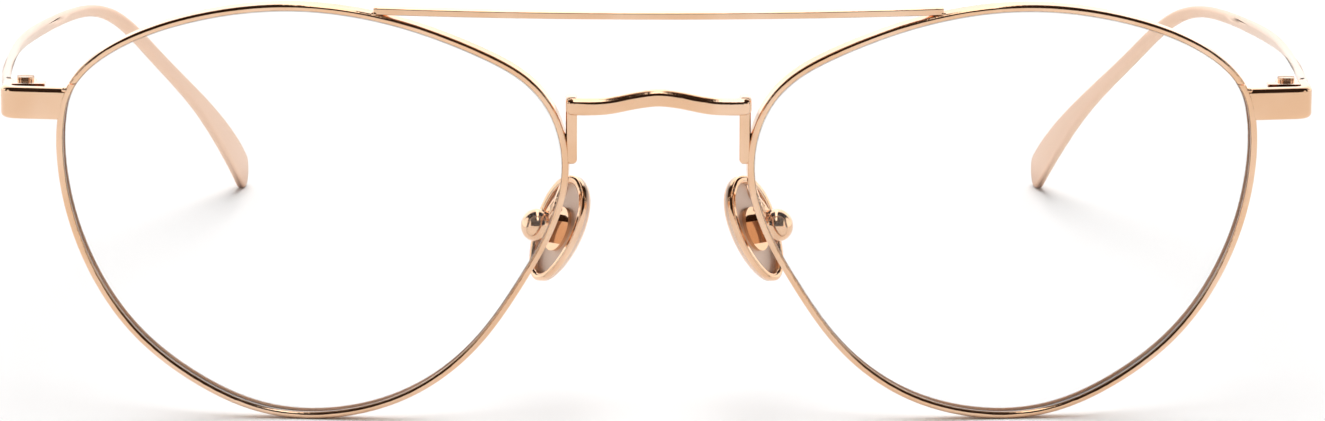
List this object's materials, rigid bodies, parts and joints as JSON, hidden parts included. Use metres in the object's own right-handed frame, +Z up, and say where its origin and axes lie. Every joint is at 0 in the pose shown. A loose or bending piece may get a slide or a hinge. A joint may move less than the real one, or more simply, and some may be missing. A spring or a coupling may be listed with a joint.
{
  "type": "optical aviator glasses",
  "caption": "Double-bridge aviator glasses with thin rose-gold metal rims, clear lenses, swivelling metal nose pads and folding temples.",
  "frame": {"origin": "centre of the bounding box's base, on the table the rims and temple tips rest on", "axes": "+Z up, the lenses face -Y, the temples run back along +Y, +X is the wearer's left"},
  "size_m": [0.143, 0.1354, 0.0454],
  "materials": {
    "polished_rose_gold": "polished",
    "satin_rose_gold": "satin",
    "pad_metal": "polished edge, matt floor",
    "screw_metal": "polished",
    "clear_lens": "clear, polished"
  },
  "bodies": {
    "front": {"brow_bar": "polished_rose_gold", "bridge": "polished_rose_gold", "rim_left": "polished_rose_gold", "lens_left": "clear_lens", "endpiece_left": "polished_rose_gold", "rim_lock_lower_left": "polished_rose_gold", "rim_lock_upper_left": "polished_rose_gold", "rim_screw_left": "screw_metal", "hinge_front_leaf_left": "polished_rose_gold", "hinge_screw_left": "screw_metal", "hinge_washer_lower_left": "screw_metal", "hinge_washer_upper_left": "screw_metal", "pad_arm_left": "polished_rose_gold", "rim_right": "polished_rose_gold", "lens_right": "clear_lens", "endpiece_right": "polished_rose_gold", "rim_lock_lower_right": "polished_rose_gold", "rim_lock_upper_right": "polished_rose_gold", "rim_screw_right": "screw_metal", "hinge_front_leaf_right": "polished_rose_gold", "hinge_screw_right": "screw_metal", "hinge_washer_lower_right": "screw_metal", "hinge_washer_upper_right": "screw_metal", "pad_arm_right": "polished_rose_gold"},
    "temple_arm_left": {"temple_left": "satin_rose_gold", "hinge_rear_leaf_left": "polished_rose_gold"},
    "pad_left": {"nose_pad_left": "pad_metal", "pad_mount_left": "polished_rose_gold", "pad_screw_left": "polished_rose_gold"},
    "temple_arm_right": {"temple_right": "satin_rose_gold", "hinge_rear_leaf_right": "polished_rose_gold"},
    "pad_right": {"nose_pad_right": "pad_metal", "pad_mount_right": "polished_rose_gold", "pad_screw_right": "polished_rose_gold"}
  },
  "joints": [
    {"name": "temple_hinge_left", "type": "hinge", "parent": "front", "child": "temple_arm_left", "pos_m": [0.0672, -0.05538, 0.0339], "axis": [0, 0, 1], "range_deg": [0, 82]},
    {"name": "temple_hinge_right", "type": "hinge", "parent": "front", "child": "temple_arm_right", "pos_m": [-0.0672, -0.05538, 0.0339], "axis": [0, 0, -1], "range_deg": [0, 78]},
    {"name": "pad_swivel_left", "type": "hinge", "parent": "front", "child": "pad_left", "pos_m": [0.0106, -0.05777, 0.0198], "axis": [0.7821, -0.5688, 0.2546], "range_deg": [-12, 12]},
    {"name": "pad_swivel_right", "type": "hinge", "parent": "front", "child": "pad_right", "pos_m": [-0.0106, -0.05777, 0.0198], "axis": [-0.7821, -0.5688, 0.2546], "range_deg": [-12, 12]}
  ]
}
